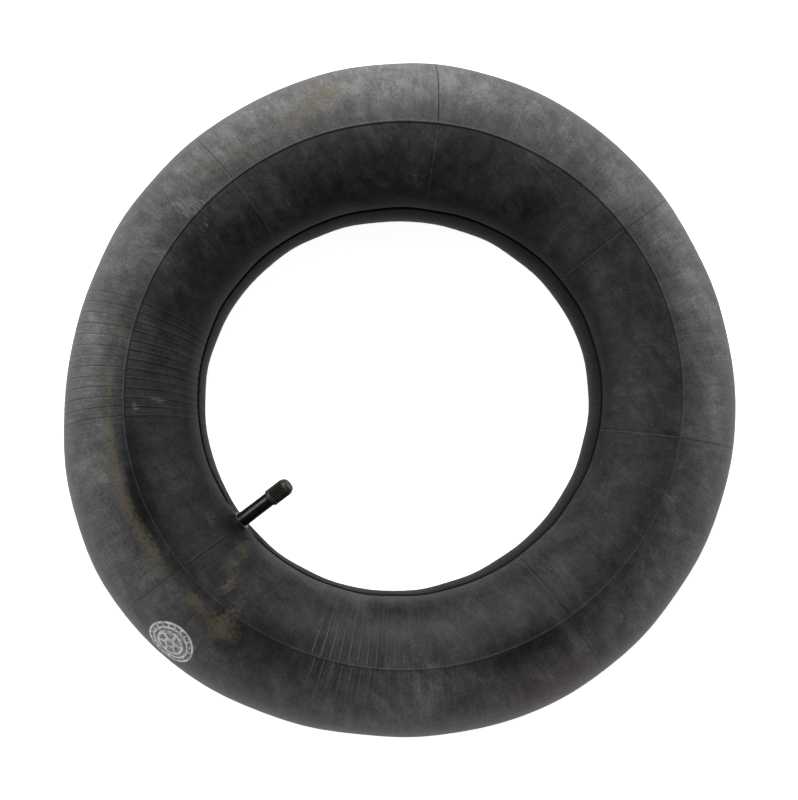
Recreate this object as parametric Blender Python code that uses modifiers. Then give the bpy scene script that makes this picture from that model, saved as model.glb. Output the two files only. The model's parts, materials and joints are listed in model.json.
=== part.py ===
"""Inner tube for an 8-inch rim, lying flat, with a straight rubber-covered Schrader valve.

The ring's axis is +Z and the floor is Z = 0. The valve stands on the -X side, above the
innermost line, and points over the middle of the ring, square to the skin. Every piece of
the valve hangs on the empty valve_axis, whose Z runs along the stem from the tube's skin
towards the tip, so heights called "along the stem" are counted from the skin.

Run with: blender --background --python part.py
"""

import math

import bmesh
import bpy
from mathutils import Matrix, Vector

MM = 0.001

# Bladder. The outline is a circle with a few shallow lobes, each given as
# (lobes in one turn, height in mm, direction of a crest in degrees).
OUTER_RADIUS = 191.7 * MM
INNER_RADIUS = 107.5 * MM
OUTER_LOBES = ((1, 2.76, 14), (2, 1.76, 14), (3, 2.14, 53), (4, 0.58, 90), (5, 0.69, 35))
INNER_LOBES = ((1, 1.64, 44), (2, 2.18, 153), (3, 0.52, 98))
HEIGHT = 83 * MM
WALL = 1.8 * MM
RING_STEPS = 64
SECTION_STEPS = 24
AIR_HOLE_RADIUS = 2.0 * MM
AIR_HOLE_REACH = 5.0 * MM

# Valve, along the stem
VALVE_DIRECTION = math.pi
VALVE_RISE = math.radians(25)
SKIN_GAP = 0.3 * MM
JACKET_TOP = 23.8 * MM
JACKET_RADIUS = 4.1 * MM
JACKET_BOTTOM = 2.5 * MM
ROOT_RING_RADIUS = 5.3 * MM
ROOT_RING_TOP = 2.2 * MM
ROOT_RING_BOTTOM = 1.3 * MM
ROOT_RING_ROUND = 0.5 * MM
BASE_RADIUS = 12.0 * MM
BASE_THICKNESS = 0.55 * MM
BASE_RIM = 0.4 * MM
BASE_DRAPE_RADIUS = 8.0 * MM
STEM_TIP = 34.9 * MM
SHANK_RADIUS = 3.0 * MM
SHANK_TOP = 24.4 * MM
FOOT_RADIUS = 4.3 * MM
FOOT_BOTTOM = 0.5 * MM
FOOT_TOP = 1.2 * MM
FIT_GAP = 0.3 * MM

# 8V1 thread of the stem and the cap: 7.7 mm, 32 turns to the inch, right-handed
PITCH = 25.4 * MM / 32
THREAD_CREST = 3.85 * MM
THREAD_ROOT = 3.42 * MM
CAP_THREAD_CREST = 3.60 * MM
CAP_BORE = 4.02 * MM
CREST_WIDTH = 0.14 * MM
FLANK = math.tan(math.radians(30))
STEM_THREAD_START = 26.3 * MM
STEM_THREAD_TURNS = 10
CAP_THREAD_TURNS = 9
ROOT_SINK = 0.10 * MM

# Valve core
CORE_BORE = 1.75 * MM
CORE_BORE_BOTTOM = 6.0 * MM
CORE_CHAMBER = 2.2 * MM
SEAT_BOTTOM = 17.7 * MM
SEAT_TOP = 21.2 * MM
CORE_THREAD_BOTTOM = 27.7 * MM
AIR_PASSAGE = 1.2 * MM
BARREL_BOTTOM = 16.2 * MM
BARREL_TOP = 28.0 * MM
SLOT_WIDTH = 1.9 * MM
SLOT_LENGTH = 6.0 * MM
SLOT_DEPTH = 2.0 * MM
SLOT_FLOOR = 32.55 * MM
PIN_RADIUS = 0.5 * MM
PIN_BOTTOM = 13.9 * MM
PIN_TOP = 34.6 * MM
PIN_COLLAR = 24.9 * MM
PIN_COLLAR_TOP = 25.5 * MM
PIN_COLLAR_RADIUS = 1.1 * MM
PIN_RIVET_TOP = 14.25 * MM
PIN_RIVET_RADIUS = 0.75 * MM
SPRING_BOTTOM = 17.55 * MM
SPRING_RADIUS = 0.88 * MM
SPRING_WIRE = 0.1 * MM
SPRING_TURNS = 6

# Dust cap
CAP_MOUTH = 24.2 * MM
CAP_LENGTH = 13.5 * MM
CAP_LEAD_IN = 0.25 * MM
CAP_RADIUS = 4.85 * MM
CAP_COLLAR_RADIUS = 4.95 * MM
CAP_RIBS = 24
RIB_DEPTH = 0.25 * MM
LINER_BOTTOM = 35.2 * MM
LINER_THICKNESS = 0.8 * MM
LINER_RADIUS = 3.75 * MM

TURNED_STEPS = 24
THREAD_STEPS = 16
MERGE = 1e-6


def clear_scene():
    for item in list(bpy.data.objects):
        bpy.data.objects.remove(item, do_unlink=True)


def make_collection(name):
    collection = bpy.data.collections.new(name)
    bpy.context.scene.collection.children.link(collection)
    return collection


def make_material(name, colour, roughness, metallic=0.0):
    material = bpy.data.materials.new(name)
    material.use_nodes = True
    shader = material.node_tree.nodes["Principled BSDF"]
    shader.inputs["Base Color"].default_value = (*colour, 1.0)
    shader.inputs["Roughness"].default_value = roughness
    shader.inputs["Metallic"].default_value = metallic
    return material


def mm(points):
    """Points written in millimetres, as metres."""
    return [tuple(value * MM for value in point) for point in points]


def arc(centre, radius, start, end, steps):
    """Points on an arc, from start to end degrees, ends included."""
    angles = [math.radians(start + (end - start) * i / steps) for i in range(steps + 1)]
    return [(centre[0] + radius * math.cos(a), centre[1] + radius * math.sin(a)) for a in angles]


# ---------------------------------------------------------------- bladder shape


def lobed(radius, lobes, direction):
    """A circle's radius with shallow lobes added."""
    waves = (
        height * MM * math.cos(count * (direction - math.radians(crest)))
        for count, height, crest in lobes
    )
    return radius + sum(waves)


def section_at(direction):
    """The section's middle radius, half width and half height, at a direction round the ring."""
    outer = lobed(OUTER_RADIUS, OUTER_LOBES, direction)
    inner = lobed(INNER_RADIUS, INNER_LOBES, direction)
    # the section has flat sides at the top and the bottom, which touch the stated height
    half_height = HEIGHT / 2 / math.cos(math.pi / SECTION_STEPS)
    return (outer + inner) / 2, (outer - inner) / 2, half_height


def skin_point(direction, turn):
    """A point of the skin: turn 0 is outermost, a quarter turn is the top."""
    middle, half_width, half_height = section_at(direction)
    reach = middle + half_width * math.cos(turn)
    height = HEIGHT / 2 + half_height * math.sin(turn)
    return Vector((reach * math.cos(direction), reach * math.sin(direction), height))


def outside_skin(point):
    """Above 0 outside the skin, below 0 in the bladder."""
    middle, half_width, half_height = section_at(math.atan2(point.y, point.x))
    across = (math.hypot(point.x, point.y) - middle) / half_width
    up = (point.z - HEIGHT / 2) / half_height
    return across * across + up * up - 1


def valve_frame():
    """The stem's frame: origin on the skin, Z along the stem, Y mostly up."""
    middle, half_width, half_height = section_at(VALVE_DIRECTION)
    centre = middle * Vector((math.cos(VALVE_DIRECTION), math.sin(VALVE_DIRECTION), 0))
    centre.z = HEIGHT / 2
    along = Vector((math.cos(VALVE_RISE), 0, math.sin(VALVE_RISE)))
    side = Vector((0, 1, 0))
    up = along.cross(side)
    distance = 1 / math.hypot(math.cos(VALVE_RISE) / half_width, math.sin(VALVE_RISE) / half_height)
    frame = Matrix((side, up, along)).transposed().to_4x4()
    frame.translation = centre + along * distance
    return frame


def skin_height(frame, x, y):
    """How far along the stem the skin lies beside the stem's axis, found by halving."""
    low, high = -20 * MM, 20 * MM
    for _ in range(40):
        middle = (low + high) / 2
        if outside_skin(frame @ Vector((x, y, middle))) > 0:
            high = middle
        else:
            low = middle
    return low


# ---------------------------------------------------------------- modelling tools


def add_object(name, data, collection, material=None, parent=None):
    item = bpy.data.objects.new(name, data)
    collection.objects.link(item)
    item.parent = parent
    if material:
        data.materials.append(material)
    return item


def hide_tool(item):
    item.hide_render = True
    item.display_type = "WIRE"


def outline_mesh(name, outline, closed):
    mesh = bpy.data.meshes.new(name)
    count = len(outline)
    edges = [(i, (i + 1) % count) for i in range(count if closed else count - 1)]
    mesh.from_pydata([(radius, 0, height) for radius, height in outline], edges, [])
    return mesh


def add_screw(item, steps, rise=0.0, turns=1):
    screw = item.modifiers.new("turn", "SCREW")
    screw.axis = "Z"
    screw.steps = steps
    screw.render_steps = steps
    screw.screw_offset = rise
    screw.iterations = turns
    screw.use_merge_vertices = True
    screw.merge_threshold = MERGE
    return screw


def turned(name, outline, collection, material=None, parent=None, bored=True, steps=TURNED_STEPS):
    """A turned piece: outline points are (radius, height), down the outside first."""
    item = add_object(name, outline_mesh(name, outline, bored), collection, material, parent)
    add_screw(item, steps)
    return item


def evaluated_mesh(item):
    """The object's mesh with its modifiers applied, its sharp edges kept."""
    graph = bpy.context.evaluated_depsgraph_get()
    return bpy.data.meshes.new_from_object(item.evaluated_get(graph))


def bake(item):
    """Applies the object's modifiers."""
    mesh = evaluated_mesh(item)
    item.modifiers.clear()
    item.data = mesh
    return item


def combine(item, tool, operation):
    join = item.modifiers.new(operation.lower(), "BOOLEAN")
    join.operation = operation
    join.solver = "EXACT"
    join.object = tool
    hide_tool(tool)


def helical_ridge(name, tools, parent, root, crest, start, turns):
    """One thread ridge as a closed solid, its root sunk in the wall that it stands on."""
    depth = abs(crest - root)
    outward = math.copysign(1, crest - root)
    root_half = CREST_WIDTH / 2 + depth * FLANK
    crest_half = CREST_WIDTH / 2
    sunk = root - outward * ROOT_SINK
    outline = [(sunk, root_half), (crest, crest_half), (crest, -crest_half), (sunk, -root_half)]
    if outward > 0:
        outline.reverse()
    outline = [(radius, start + height) for radius, height in outline]
    ridge = add_object(name, outline_mesh(name, outline, True), tools, None, parent)
    add_screw(ridge, THREAD_STEPS, rise=PITCH, turns=turns)
    bake(ridge)
    shape = bmesh.new()
    shape.from_mesh(ridge.data)
    bmesh.ops.holes_fill(shape, edges=shape.edges, sides=0)
    bmesh.ops.recalc_face_normals(shape, faces=shape.faces)
    shape.to_mesh(ridge.data)
    shape.free()
    return ridge


# ---------------------------------------------------------------- pieces


def make_tube_body(parts, tools, valve_axis, material):
    """The bladder: a hollow ring with the air hole that the stem stands over."""
    bpy.ops.mesh.primitive_torus_add(
        major_segments=RING_STEPS,
        minor_segments=SECTION_STEPS,
        major_radius=(OUTER_RADIUS + INNER_RADIUS) / 2,
        minor_radius=(OUTER_RADIUS - INNER_RADIUS) / 2,
    )
    body = bpy.context.object
    body.name = "tube_body"
    for collection in list(body.users_collection):
        collection.objects.unlink(body)
    parts.objects.link(body)
    body.data.materials.append(material)
    for vertex in body.data.vertices:
        direction = math.atan2(vertex.co.y, vertex.co.x)
        across = math.hypot(vertex.co.x, vertex.co.y) - (OUTER_RADIUS + INNER_RADIUS) / 2
        # half a step round the section puts a flat side at the top and at the bottom
        turn = math.atan2(vertex.co.z, across) + math.pi / SECTION_STEPS
        vertex.co = skin_point(direction, turn)
    wall = body.modifiers.new("wall", "SOLIDIFY")
    wall.thickness = WALL
    wall.offset = -1
    outline = [(0, AIR_HOLE_REACH), (AIR_HOLE_RADIUS, AIR_HOLE_REACH)]
    outline += [(AIR_HOLE_RADIUS, -AIR_HOLE_REACH), (0, -AIR_HOLE_REACH)]
    hole = turned("air_hole_cutter", outline, tools, None, valve_axis, bored=False, steps=THREAD_STEPS)
    combine(body, hole, "DIFFERENCE")
    return body


def make_valve_rubber(parts, valve_axis, material, frame):
    """The stem's rubber: a straight jacket, a low ring at its root and a thin base on the skin."""
    bore = SHANK_RADIUS + FIT_GAP
    pocket = FOOT_RADIUS + FIT_GAP
    pocket_top = FOOT_TOP + FIT_GAP
    round_off = 0.4 * MM
    outline = arc((JACKET_RADIUS - round_off, JACKET_TOP - round_off), round_off, 90, 0, 3)
    outline += [(JACKET_RADIUS, JACKET_BOTTOM)]
    ring_centre = (ROOT_RING_RADIUS - ROOT_RING_ROUND, ROOT_RING_TOP - ROOT_RING_ROUND)
    outline += arc(ring_centre, ROOT_RING_ROUND, 90, 0, 3)
    outline += [(ROOT_RING_RADIUS, ROOT_RING_BOTTOM)]
    outline += [(ROOT_RING_RADIUS + ROOT_RING_ROUND, SKIN_GAP + BASE_THICKNESS)]
    outline += [(BASE_DRAPE_RADIUS, SKIN_GAP + BASE_THICKNESS)]
    outline += [(BASE_RADIUS, SKIN_GAP + BASE_RIM), (BASE_RADIUS, SKIN_GAP)]
    outline += [(pocket, SKIN_GAP), (pocket, pocket_top), (bore, pocket_top), (bore, JACKET_TOP)]
    rubber = bake(turned("valve_rubber", outline, parts, material, valve_axis))
    # the base follows the skin, and the stem and the foot's pocket stay true to the stem's axis
    for vertex in rubber.data.vertices:
        x, y, height = vertex.co
        share = (math.hypot(x, y) - pocket) / (BASE_DRAPE_RADIUS - pocket)
        share = min(1.0, max(0.0, share)) if height > 1.01 * SKIN_GAP else 1.0
        vertex.co.z += share * skin_height(frame, x, y)
    return rubber


def make_stem_insert(parts, tools, valve_axis, material):
    """The brass tube inside the rubber, threaded outside for the cap and bored for the core."""
    outline = [(THREAD_ROOT - FIT_GAP, STEM_TIP), (THREAD_ROOT, STEM_TIP - FIT_GAP)]
    outline += [(THREAD_ROOT, SHANK_TOP), (SHANK_RADIUS, SHANK_TOP), (SHANK_RADIUS, FOOT_TOP)]
    outline += [(FOOT_RADIUS, FOOT_TOP), (FOOT_RADIUS, FOOT_BOTTOM), (AIR_PASSAGE, FOOT_BOTTOM)]
    outline += [(AIR_PASSAGE, CORE_BORE_BOTTOM), (CORE_BORE, CORE_BORE_BOTTOM)]
    outline += [(CORE_BORE, SEAT_BOTTOM), (CORE_CHAMBER, SEAT_TOP), (CORE_CHAMBER, CORE_THREAD_BOTTOM)]
    outline += mm([(2.6, 28.1), (2.6, 34.3)])
    outline += [(2.75 * MM, STEM_TIP)]
    insert = turned("stem_insert", outline, parts, material, valve_axis, steps=THREAD_STEPS)
    ridge = helical_ridge(
        "stem_thread_tool",
        tools,
        valve_axis,
        THREAD_ROOT,
        THREAD_CREST,
        STEM_THREAD_START,
        STEM_THREAD_TURNS,
    )
    combine(insert, ridge, "UNION")
    return insert


def make_core_plug(parts, tools, valve_axis, material):
    """The screw plug that holds the core: a slotted crown on a threaded part and a neck."""
    outline = mm([(2.0, 33.9), (2.0, 32.4), (2.3, 32.4), (2.48, 32.2), (2.48, 28.4)])
    outline += mm([(2.25, 28.15), (1.15, 28.15), (1.15, 27.2), (0.62, 27.2)])
    outline += mm([(0.62, 32.1), (1.25, 32.1), (1.25, 33.9)])
    plug = turned("core_plug", outline, parts, material, valve_axis)
    slot = bpy.data.meshes.new("plug_slot_cutter")
    shape = bmesh.new()
    bmesh.ops.create_cube(shape, size=1)
    bmesh.ops.scale(shape, vec=(SLOT_WIDTH, SLOT_LENGTH, SLOT_DEPTH), verts=shape.verts)
    bmesh.ops.translate(shape, vec=(0, 0, SLOT_FLOOR + SLOT_DEPTH / 2), verts=shape.verts)
    shape.to_mesh(slot)
    shape.free()
    combine(plug, add_object("plug_slot_cutter", slot, tools, None, valve_axis), "DIFFERENCE")
    return plug


def make_core_barrel(parts, valve_axis, material):
    """The core's lower tube, whose bottom edge is the seat of the seal."""
    outline = [(1.95 * MM, BARREL_TOP)]
    outline += mm([(1.95, 21.7), (1.45, 21.7), (1.45, 18.7), (1.62, 18.7), (1.62, 18.3), (1.42, 18.0)])
    outline += [(1.42 * MM, BARREL_BOTTOM), (0.8 * MM, BARREL_BOTTOM)]
    outline += mm([(0.8, 17.3), (1.25, 17.3)])
    outline += [(1.25 * MM, BARREL_TOP)]
    return turned("core_barrel", outline, parts, material, valve_axis)


def make_core_gasket(parts, valve_axis, material):
    """The tapered sleeve that seals the core in the stem."""
    outline = mm([(2.1, 21.6), (2.08, 21.2), (1.82, 19.0), (1.76, 18.8), (1.52, 18.8), (1.52, 21.6)])
    return turned("core_gasket", outline, parts, material, valve_axis)


def make_core_pin(parts, valve_axis, material):
    """The pin that opens the valve when it is pressed."""
    outline = [(0, PIN_TOP)]
    outline += mm([(0.65, 34.6), (0.8, 34.45), (0.8, 34.1), (0.5, 33.95)])
    outline += [(PIN_RADIUS, PIN_COLLAR_TOP), (PIN_COLLAR_RADIUS, PIN_COLLAR_TOP)]
    outline += [(PIN_COLLAR_RADIUS, PIN_COLLAR), (PIN_RADIUS, PIN_COLLAR)]
    outline += [(PIN_RADIUS, PIN_RIVET_TOP), (PIN_RIVET_RADIUS, PIN_RIVET_TOP)]
    outline += [(PIN_RIVET_RADIUS, PIN_BOTTOM), (0, PIN_BOTTOM)]
    return turned("core_pin", outline, parts, material, valve_axis, bored=False, steps=16)


def make_core_cup(parts, valve_axis, material):
    """The cup at the pin's lower end."""
    outline = mm([(1.35, 15.8), (1.35, 14.55), (1.2, 14.35), (0.6, 14.35)])
    outline += mm([(0.6, 14.7), (1.15, 14.7), (1.15, 15.8)])
    return turned("core_cup", outline, parts, material, valve_axis, steps=16)


def make_core_seal(parts, valve_axis, material):
    """The rubber ring in the cup."""
    outline = mm([(1.0, 16.1), (1.06, 16.0), (1.06, 14.8), (0.6, 14.8), (0.6, 16.1)])
    return turned("core_seal", outline, parts, material, valve_axis, steps=16)


def make_core_spring(parts, valve_axis, material):
    """The coil that lifts the pin."""
    rise = PIN_COLLAR - 2 * SPRING_WIRE - SPRING_BOTTOM
    points_per_turn = 10
    count = SPRING_TURNS * points_per_turn
    curve = bpy.data.curves.new("core_spring", "CURVE")
    curve.dimensions = "3D"
    curve.bevel_depth = SPRING_WIRE
    curve.bevel_resolution = 1
    curve.use_fill_caps = True
    wire = curve.splines.new("POLY")
    wire.points.add(count)
    for i, point in enumerate(wire.points):
        angle = 2 * math.pi * i / points_per_turn
        x, y = SPRING_RADIUS * math.cos(angle), SPRING_RADIUS * math.sin(angle)
        point.co = (x, y, SPRING_BOTTOM + rise * i / count, 1)
    return add_object("core_spring", curve, parts, material, valve_axis)


def cap_shell(name, parts, material, parent):
    """The cap's outside: rings of points, plain at the collar and ribbed on the grip."""
    mesh = bpy.data.meshes.new(name)
    # height above the mouth, radius, depth of the grooves between the ribs
    rings = [
        (0, CAP_COLLAR_RADIUS - 0.2 * MM, 0),
        (0.2 * MM, CAP_COLLAR_RADIUS, 0),
        (1.7 * MM, CAP_COLLAR_RADIUS, 0),
        (2.0 * MM, CAP_RADIUS - RIB_DEPTH, 0),
        (2.4 * MM, CAP_RADIUS, RIB_DEPTH),
        (CAP_LENGTH - 1.6 * MM, CAP_RADIUS, RIB_DEPTH),
        (CAP_LENGTH - 0.8 * MM, CAP_RADIUS - 0.3 * MM, 0.6 * RIB_DEPTH),
        (CAP_LENGTH, CAP_RADIUS - 1.1 * MM, 0),
    ]
    shape = bmesh.new()
    loops = []
    for height, radius, depth in rings:
        loop = []
        for i in range(2 * CAP_RIBS):
            angle = math.pi * i / CAP_RIBS
            reach = radius - depth * (i % 2)
            point = (reach * math.cos(angle), reach * math.sin(angle), CAP_MOUTH + height)
            loop.append(shape.verts.new(point))
        loops.append(loop)
    for lower, upper in zip(loops, loops[1:]):
        for i in range(len(lower)):
            j = (i + 1) % len(lower)
            shape.faces.new((lower[i], lower[j], upper[j], upper[i]))
    shape.faces.new(reversed(loops[0]))
    shape.faces.new(loops[-1])
    shape.to_mesh(mesh)
    shape.free()
    return add_object(name, mesh, parts, material, parent)


def make_dust_cap(parts, tools, valve_axis, material):
    """The screw cap, with its inner thread."""
    cap = cap_shell("dust_cap", parts, material, valve_axis)
    ceiling = LINER_BOTTOM + LINER_THICKNESS + FIT_GAP
    lead_in = CAP_BORE + CAP_LEAD_IN
    below = CAP_MOUTH - CAP_LENGTH / 2
    outline = [(0, ceiling), (CAP_BORE, ceiling), (CAP_BORE, CAP_MOUTH + 0.8 * MM)]
    outline += [(lead_in, CAP_MOUTH + 0.6 * MM), (lead_in, below), (0, below)]
    bore = turned("cap_bore_cutter", outline, tools, None, valve_axis, bored=False, steps=THREAD_STEPS)
    combine(cap, bore, "DIFFERENCE")
    ridge = helical_ridge(
        "cap_thread_tool",
        tools,
        valve_axis,
        CAP_BORE,
        CAP_THREAD_CREST,
        STEM_THREAD_START + PITCH / 2,
        CAP_THREAD_TURNS,
    )
    combine(cap, ridge, "UNION")
    return cap


def make_cap_liner(parts, valve_axis, material):
    """The rubber disc in the cap's end."""
    top = LINER_BOTTOM + LINER_THICKNESS
    edge = 0.15 * MM
    outline = [(0, top), (LINER_RADIUS - edge, top), (LINER_RADIUS, top - edge)]
    outline += [(LINER_RADIUS, LINER_BOTTOM + edge), (LINER_RADIUS - edge, LINER_BOTTOM), (0, LINER_BOTTOM)]
    return turned("cap_liner", outline, parts, material, valve_axis, bored=False)


def shade(item):
    """Smooth shading with sharp edges."""
    if item.type != "MESH":
        return
    item.data.shade_smooth()
    item.data.set_sharp_from_angle(angle=math.radians(35))


def main():
    clear_scene()
    parts = make_collection("inner_tube")
    tools = make_collection("cutters")
    frame = valve_frame()
    valve_axis = bpy.data.objects.new("valve_axis", None)
    parts.objects.link(valve_axis)
    valve_axis.location = frame.translation
    valve_axis.rotation_euler = frame.to_euler()
    bpy.context.view_layer.update()

    butyl = make_material("butyl", (0.045, 0.045, 0.048), 0.62)
    moulded_rubber = make_material("moulded_rubber", (0.018, 0.018, 0.019), 0.35)
    brass = make_material("brass", (0.72, 0.52, 0.24), 0.32, 1.0)
    nickel = make_material("nickel", (0.62, 0.60, 0.55), 0.30, 1.0)
    steel = make_material("spring_steel", (0.55, 0.55, 0.56), 0.28, 1.0)
    sealing_rubber = make_material("sealing_rubber", (0.025, 0.024, 0.024), 0.55)
    sealing_sleeve = make_material("sealing_sleeve", (0.45, 0.06, 0.04), 0.45)
    cap_plastic = make_material("cap_plastic", (0.030, 0.027, 0.024), 0.42)

    pieces = [
        make_tube_body(parts, tools, valve_axis, butyl),
        make_valve_rubber(parts, valve_axis, moulded_rubber, frame),
        make_stem_insert(parts, tools, valve_axis, brass),
        make_core_plug(parts, tools, valve_axis, nickel),
        make_core_barrel(parts, valve_axis, brass),
        make_core_gasket(parts, valve_axis, sealing_sleeve),
        make_core_pin(parts, valve_axis, brass),
        make_core_cup(parts, valve_axis, brass),
        make_core_seal(parts, valve_axis, sealing_rubber),
        make_core_spring(parts, valve_axis, steel),
        make_dust_cap(parts, tools, valve_axis, cap_plastic),
        make_cap_liner(parts, valve_axis, sealing_rubber),
    ]
    for item in pieces:
        shade(item)


main()
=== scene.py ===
"""Looks of the inner tube: the bladder's skin, its mould lines, dust and stains, and the valve.

The ring's axis is +Z and the floor is Z = 0. Directions round the ring are counted from +X
towards +Y. Turns round the section are counted from the outermost line over the top, so the
crown is at 90 degrees and the innermost line at 180. Lengths are in metres unless a name or a
comment says millimetres.
"""

import json
import math

import bpy
import numpy as np
from mathutils import Matrix, Vector


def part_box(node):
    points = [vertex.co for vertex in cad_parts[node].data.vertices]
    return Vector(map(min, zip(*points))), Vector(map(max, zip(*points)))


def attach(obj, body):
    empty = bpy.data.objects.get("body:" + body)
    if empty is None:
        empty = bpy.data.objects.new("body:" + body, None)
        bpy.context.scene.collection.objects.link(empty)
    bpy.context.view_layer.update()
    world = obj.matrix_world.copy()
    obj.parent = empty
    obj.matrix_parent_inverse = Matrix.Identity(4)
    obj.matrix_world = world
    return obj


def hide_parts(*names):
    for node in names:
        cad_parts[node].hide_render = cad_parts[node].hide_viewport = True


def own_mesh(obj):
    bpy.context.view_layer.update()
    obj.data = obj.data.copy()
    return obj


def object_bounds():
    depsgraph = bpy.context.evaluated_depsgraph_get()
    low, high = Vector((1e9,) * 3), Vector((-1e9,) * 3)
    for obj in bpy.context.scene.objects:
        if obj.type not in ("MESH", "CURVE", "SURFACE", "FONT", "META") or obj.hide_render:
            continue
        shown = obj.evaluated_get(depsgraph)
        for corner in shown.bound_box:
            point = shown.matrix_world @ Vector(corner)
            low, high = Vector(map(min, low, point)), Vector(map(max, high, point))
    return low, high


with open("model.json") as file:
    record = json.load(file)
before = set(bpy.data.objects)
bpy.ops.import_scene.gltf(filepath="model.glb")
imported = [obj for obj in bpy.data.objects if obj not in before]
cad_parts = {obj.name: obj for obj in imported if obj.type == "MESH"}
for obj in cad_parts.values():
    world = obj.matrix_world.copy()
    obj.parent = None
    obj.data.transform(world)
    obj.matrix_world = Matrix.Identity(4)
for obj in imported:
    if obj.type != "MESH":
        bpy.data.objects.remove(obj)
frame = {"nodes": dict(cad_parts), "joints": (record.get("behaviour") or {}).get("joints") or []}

MM = 0.001
CAD_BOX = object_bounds()

# ---- sizes

# Outline of the ring: a circle with shallow lobes, each given as (lobes in one turn, height in
# mm, crest in degrees). PATTERN_TURN turns every lobe, line, stain and mark of the skin round
# the ring, away from the valve's direction.
PATTERN_TURN = math.radians(0.7)
OUTER_RADIUS = 191.9 * MM
INNER_RADIUS = 107.1 * MM
OUTER_LOBES = ((1, 3.17, 15), (2, 2.13, 14), (3, 2.14, 53), (4, 0.58, 90), (5, 0.69, 35))
INNER_LOBES = ((1, 1.29, 50), (2, 2.12, 156), (3, 0.72, 104))
TUBE_LOW, TUBE_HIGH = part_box("tube_body")
HALF_HEIGHT = (TUBE_HIGH.z - TUBE_LOW.z) / 2
MID_HEIGHT = (TUBE_HIGH.z + TUBE_LOW.z) / 2
SECTION_RADIUS = HALF_HEIGHT
FLOOR_PRESS = 0.9 * MM

# Mould marks of the skin. The ridge and the crease have lobes of their own.
RIDGE_RING = 153.4 * MM
RIDGE_LOBES = ((1, 4.1, 23), (2, 1.6, -22.5), (3, 0.3, 43))
RIDGE_HALF_WIDTH = 0.32 * MM
RIDGE_HEIGHT = 0.42 * MM
RIDGE_ROOT = 0.80 * MM
SHOULDER_SLOPE = math.radians(6)
SHOULDER_REACH = 8 * MM
CREASE_RING = 111.0 * MM
CREASE_LOBES = ((1, 2.1, 34), (2, 2.3, -28), (3, 0.7, -13.5))
CREASE_HALF_WIDTH = 0.45 * MM
CREASE_DEPTH = 0.60 * MM
CREASE_SHADE_WIDTH = 0.6 * MM
BAND_START = 0.6 * MM
BAND_STEP = 0.8 * MM
BAND_RELIEF = 0.35 * MM
LINE_HALF_WIDTH = 0.30 * MM
LINE_HEIGHT = 0.17 * MM
LINE_EDGE = 0.75 * MM
LINE_COUNT = 8
RIB_COUNT = 13
RIB_SPACING = math.radians(2.0)
LEFT_GROUP = PATTERN_TURN + math.radians(134)
LOWER_GROUP = PATTERN_TURN + math.radians(225)
LINE_SPACING = 2 * math.pi / LINE_COUNT
SPLICE_NUMBER = 1
SPLICE = PATTERN_TURN + SPLICE_NUMBER * LINE_SPACING
# (height of the line, height of its edge, tone of the line, tone of its edge). The tones are partly
# the lines' own and partly painted light: pale on the raised parts as highlight and dark in the low
# parts as shade.
SPLICE_LINE = (-1.6, 0.5, -0.9, 0.4)
OUTER_LINE = (-1.0, 0.4, -0.6, 0.25)
INNER_LINE = (1.0, -0.5, 0.4, -0.5)
OUTER_RIB = (-1.2, 0.6, -0.6, 0.25)
INNER_RIB = (1.1, -0.8, 0.35, -0.4)
OUTER_SHORT_RIB = (1.1, -0.4, 0.85, -0.25)
INNER_SHORT_RIB = (1.3, -0.5, 0.85, -0.35)
LINE_FADE_LONG = 300 * MM
LINE_FADE_SHORT = 23.4 * MM
# Degrees by which a line has swung at SWING_REACH from the ridge
SWING_REACH = 40 * MM
RIB_BOW_INSIDE = 0.7
RIB_BOW_OUTSIDE = 0.5
SPLICE_LEAN = 1.2

# Shallow unevenness of a bladder that holds little air
SLOW_WAVE = 0.22 * MM
MIDDLE_WAVES = (0.14 * MM, 0.10 * MM)
QUICK_WAVE = 0.05 * MM

# Skin mesh: steps of the even grid, and distances in mm of the close rows and columns from the
# middle of a line
COLUMN_STEP = math.radians(1.0)
ROW_STEP = math.radians(3.75)
LINE_COLUMNS = (-0.8, -0.35, 0.0, 0.38, 0.76, 1.15)
EDGE_ROWS = (-2.4, -1.4, -0.78, -0.38, 0.0, 0.38, 0.78, 1.4, 2.4)

# Pale bloom, as shares of a full cover: outside the ridge it grows up to one distance from the
# ridge and thins again between two others, and inside the ridge it is faint. Its swing round the
# ring is partly painted light: thicker outside and thinner inside towards the key lamp's side.
DUSTY_AND_LIT_SIDE = math.radians(60)
OUTER_BLOOM = 0.55
OUTER_BLOOM_AND_LIGHT_SWING = 0.10
BLOOM_AT_RIDGE = 0.40
BLOOM_GROWTH = 0.60
BLOOM_GROWN = 26 * MM
BLOOM_LOSS = 0.46
BLOOM_THINS = (28 * MM, 60 * MM)
INNER_BLOOM = 0.07
INNER_BLOOM_AND_SHADE_SWING = 0.04
RIDGE_BLOOM = 0.07
RIDGE_BLOOM_REACH = 7 * MM

# Painted shade in the crease: dark round one direction, where the inner slope faces away from the
# key lamp, and fainter elsewhere
CREASE_SHADE_SIDE = math.radians(92)
CREASE_SHADE_SIDE_REACH = (math.radians(72), math.radians(95))
CREASE_SHADE_ELSEWHERE = 0.35
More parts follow.
